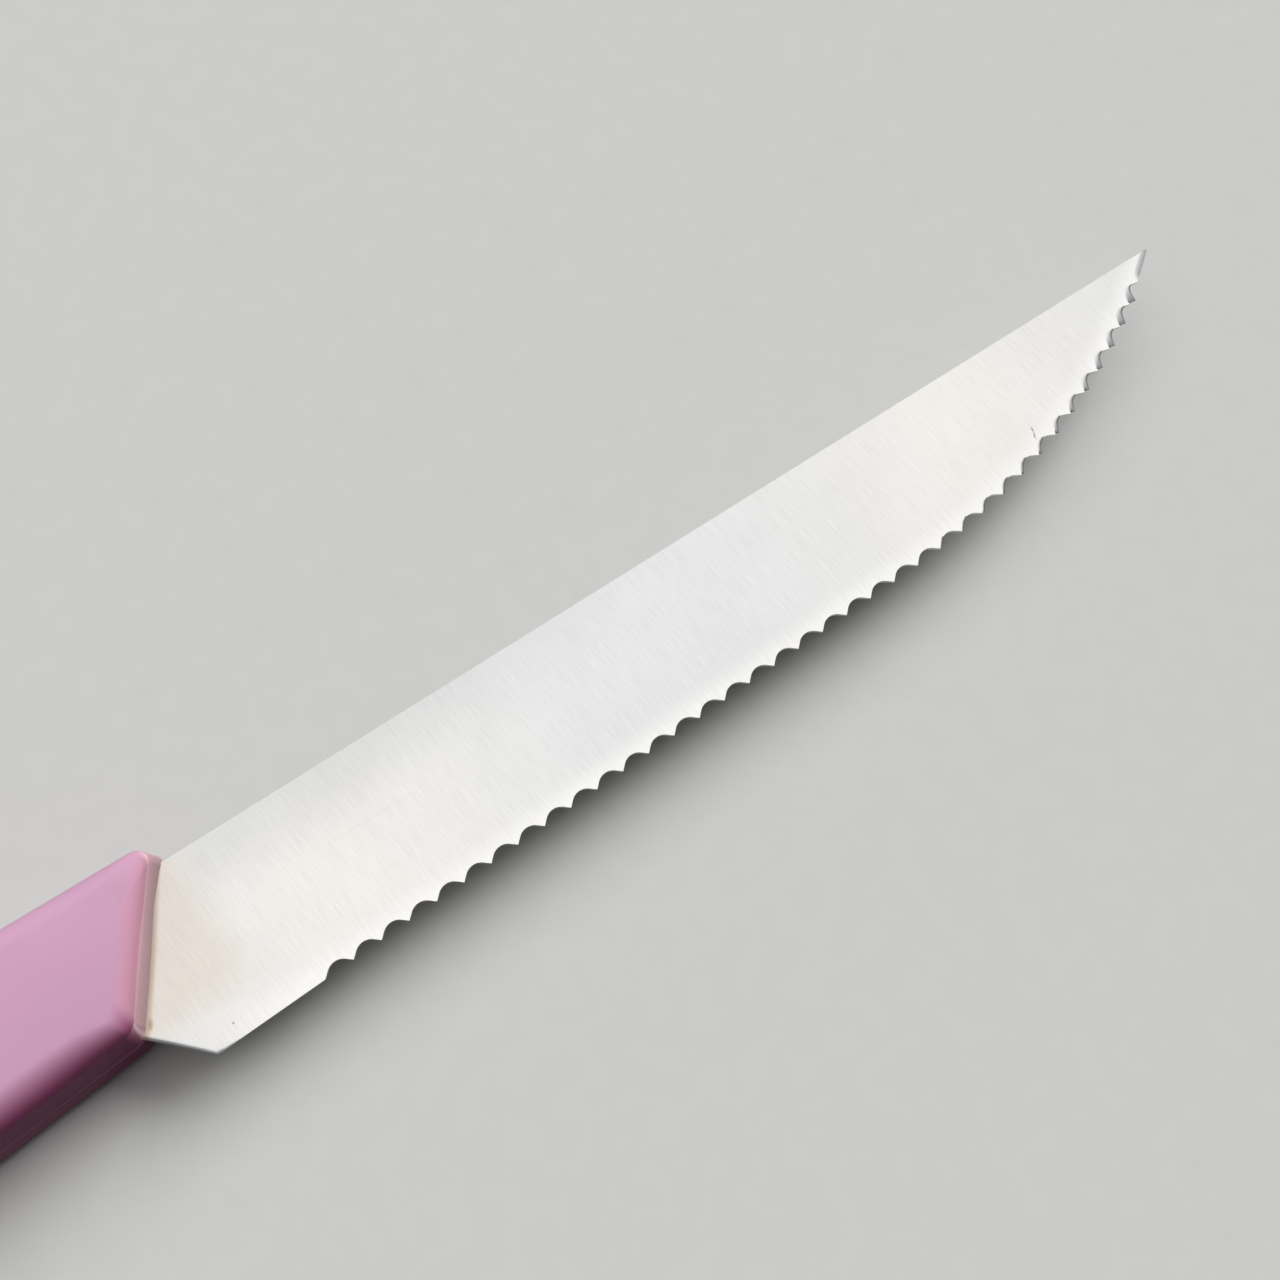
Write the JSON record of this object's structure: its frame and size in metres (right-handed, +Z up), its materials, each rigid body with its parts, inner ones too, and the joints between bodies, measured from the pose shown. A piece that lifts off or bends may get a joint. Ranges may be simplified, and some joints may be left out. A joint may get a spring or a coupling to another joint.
{
  "type": "steak knife",
  "caption": "Table knife with a straight spine, a scalloped serrated edge curving up to the point, and a slant-fronted moulded plastic handle split along the blade's plane.",
  "frame": {"origin": "middle of the knife's box, on the surface that its lower cheek lies on", "axes": "+X along the knife to the point, +Y to the spine, +Z up, square to the blade's flat side"},
  "size_m": [0.225, 0.0212, 0.0125],
  "materials": {
    "blade_steel": "satin, fine grind lines across the blade",
    "handle_plastic": "smooth satin-gloss moulded lilac pink",
    "pin_steel": "turned, plain"
  },
  "bodies": {
    "root": {"blade": "blade_steel", "handle_right_half": "handle_plastic", "handle_left_half": "handle_plastic", "pin_front": "pin_steel", "pin_middle": "pin_steel", "pin_rear": "pin_steel"}
  },
  "joints": []
}
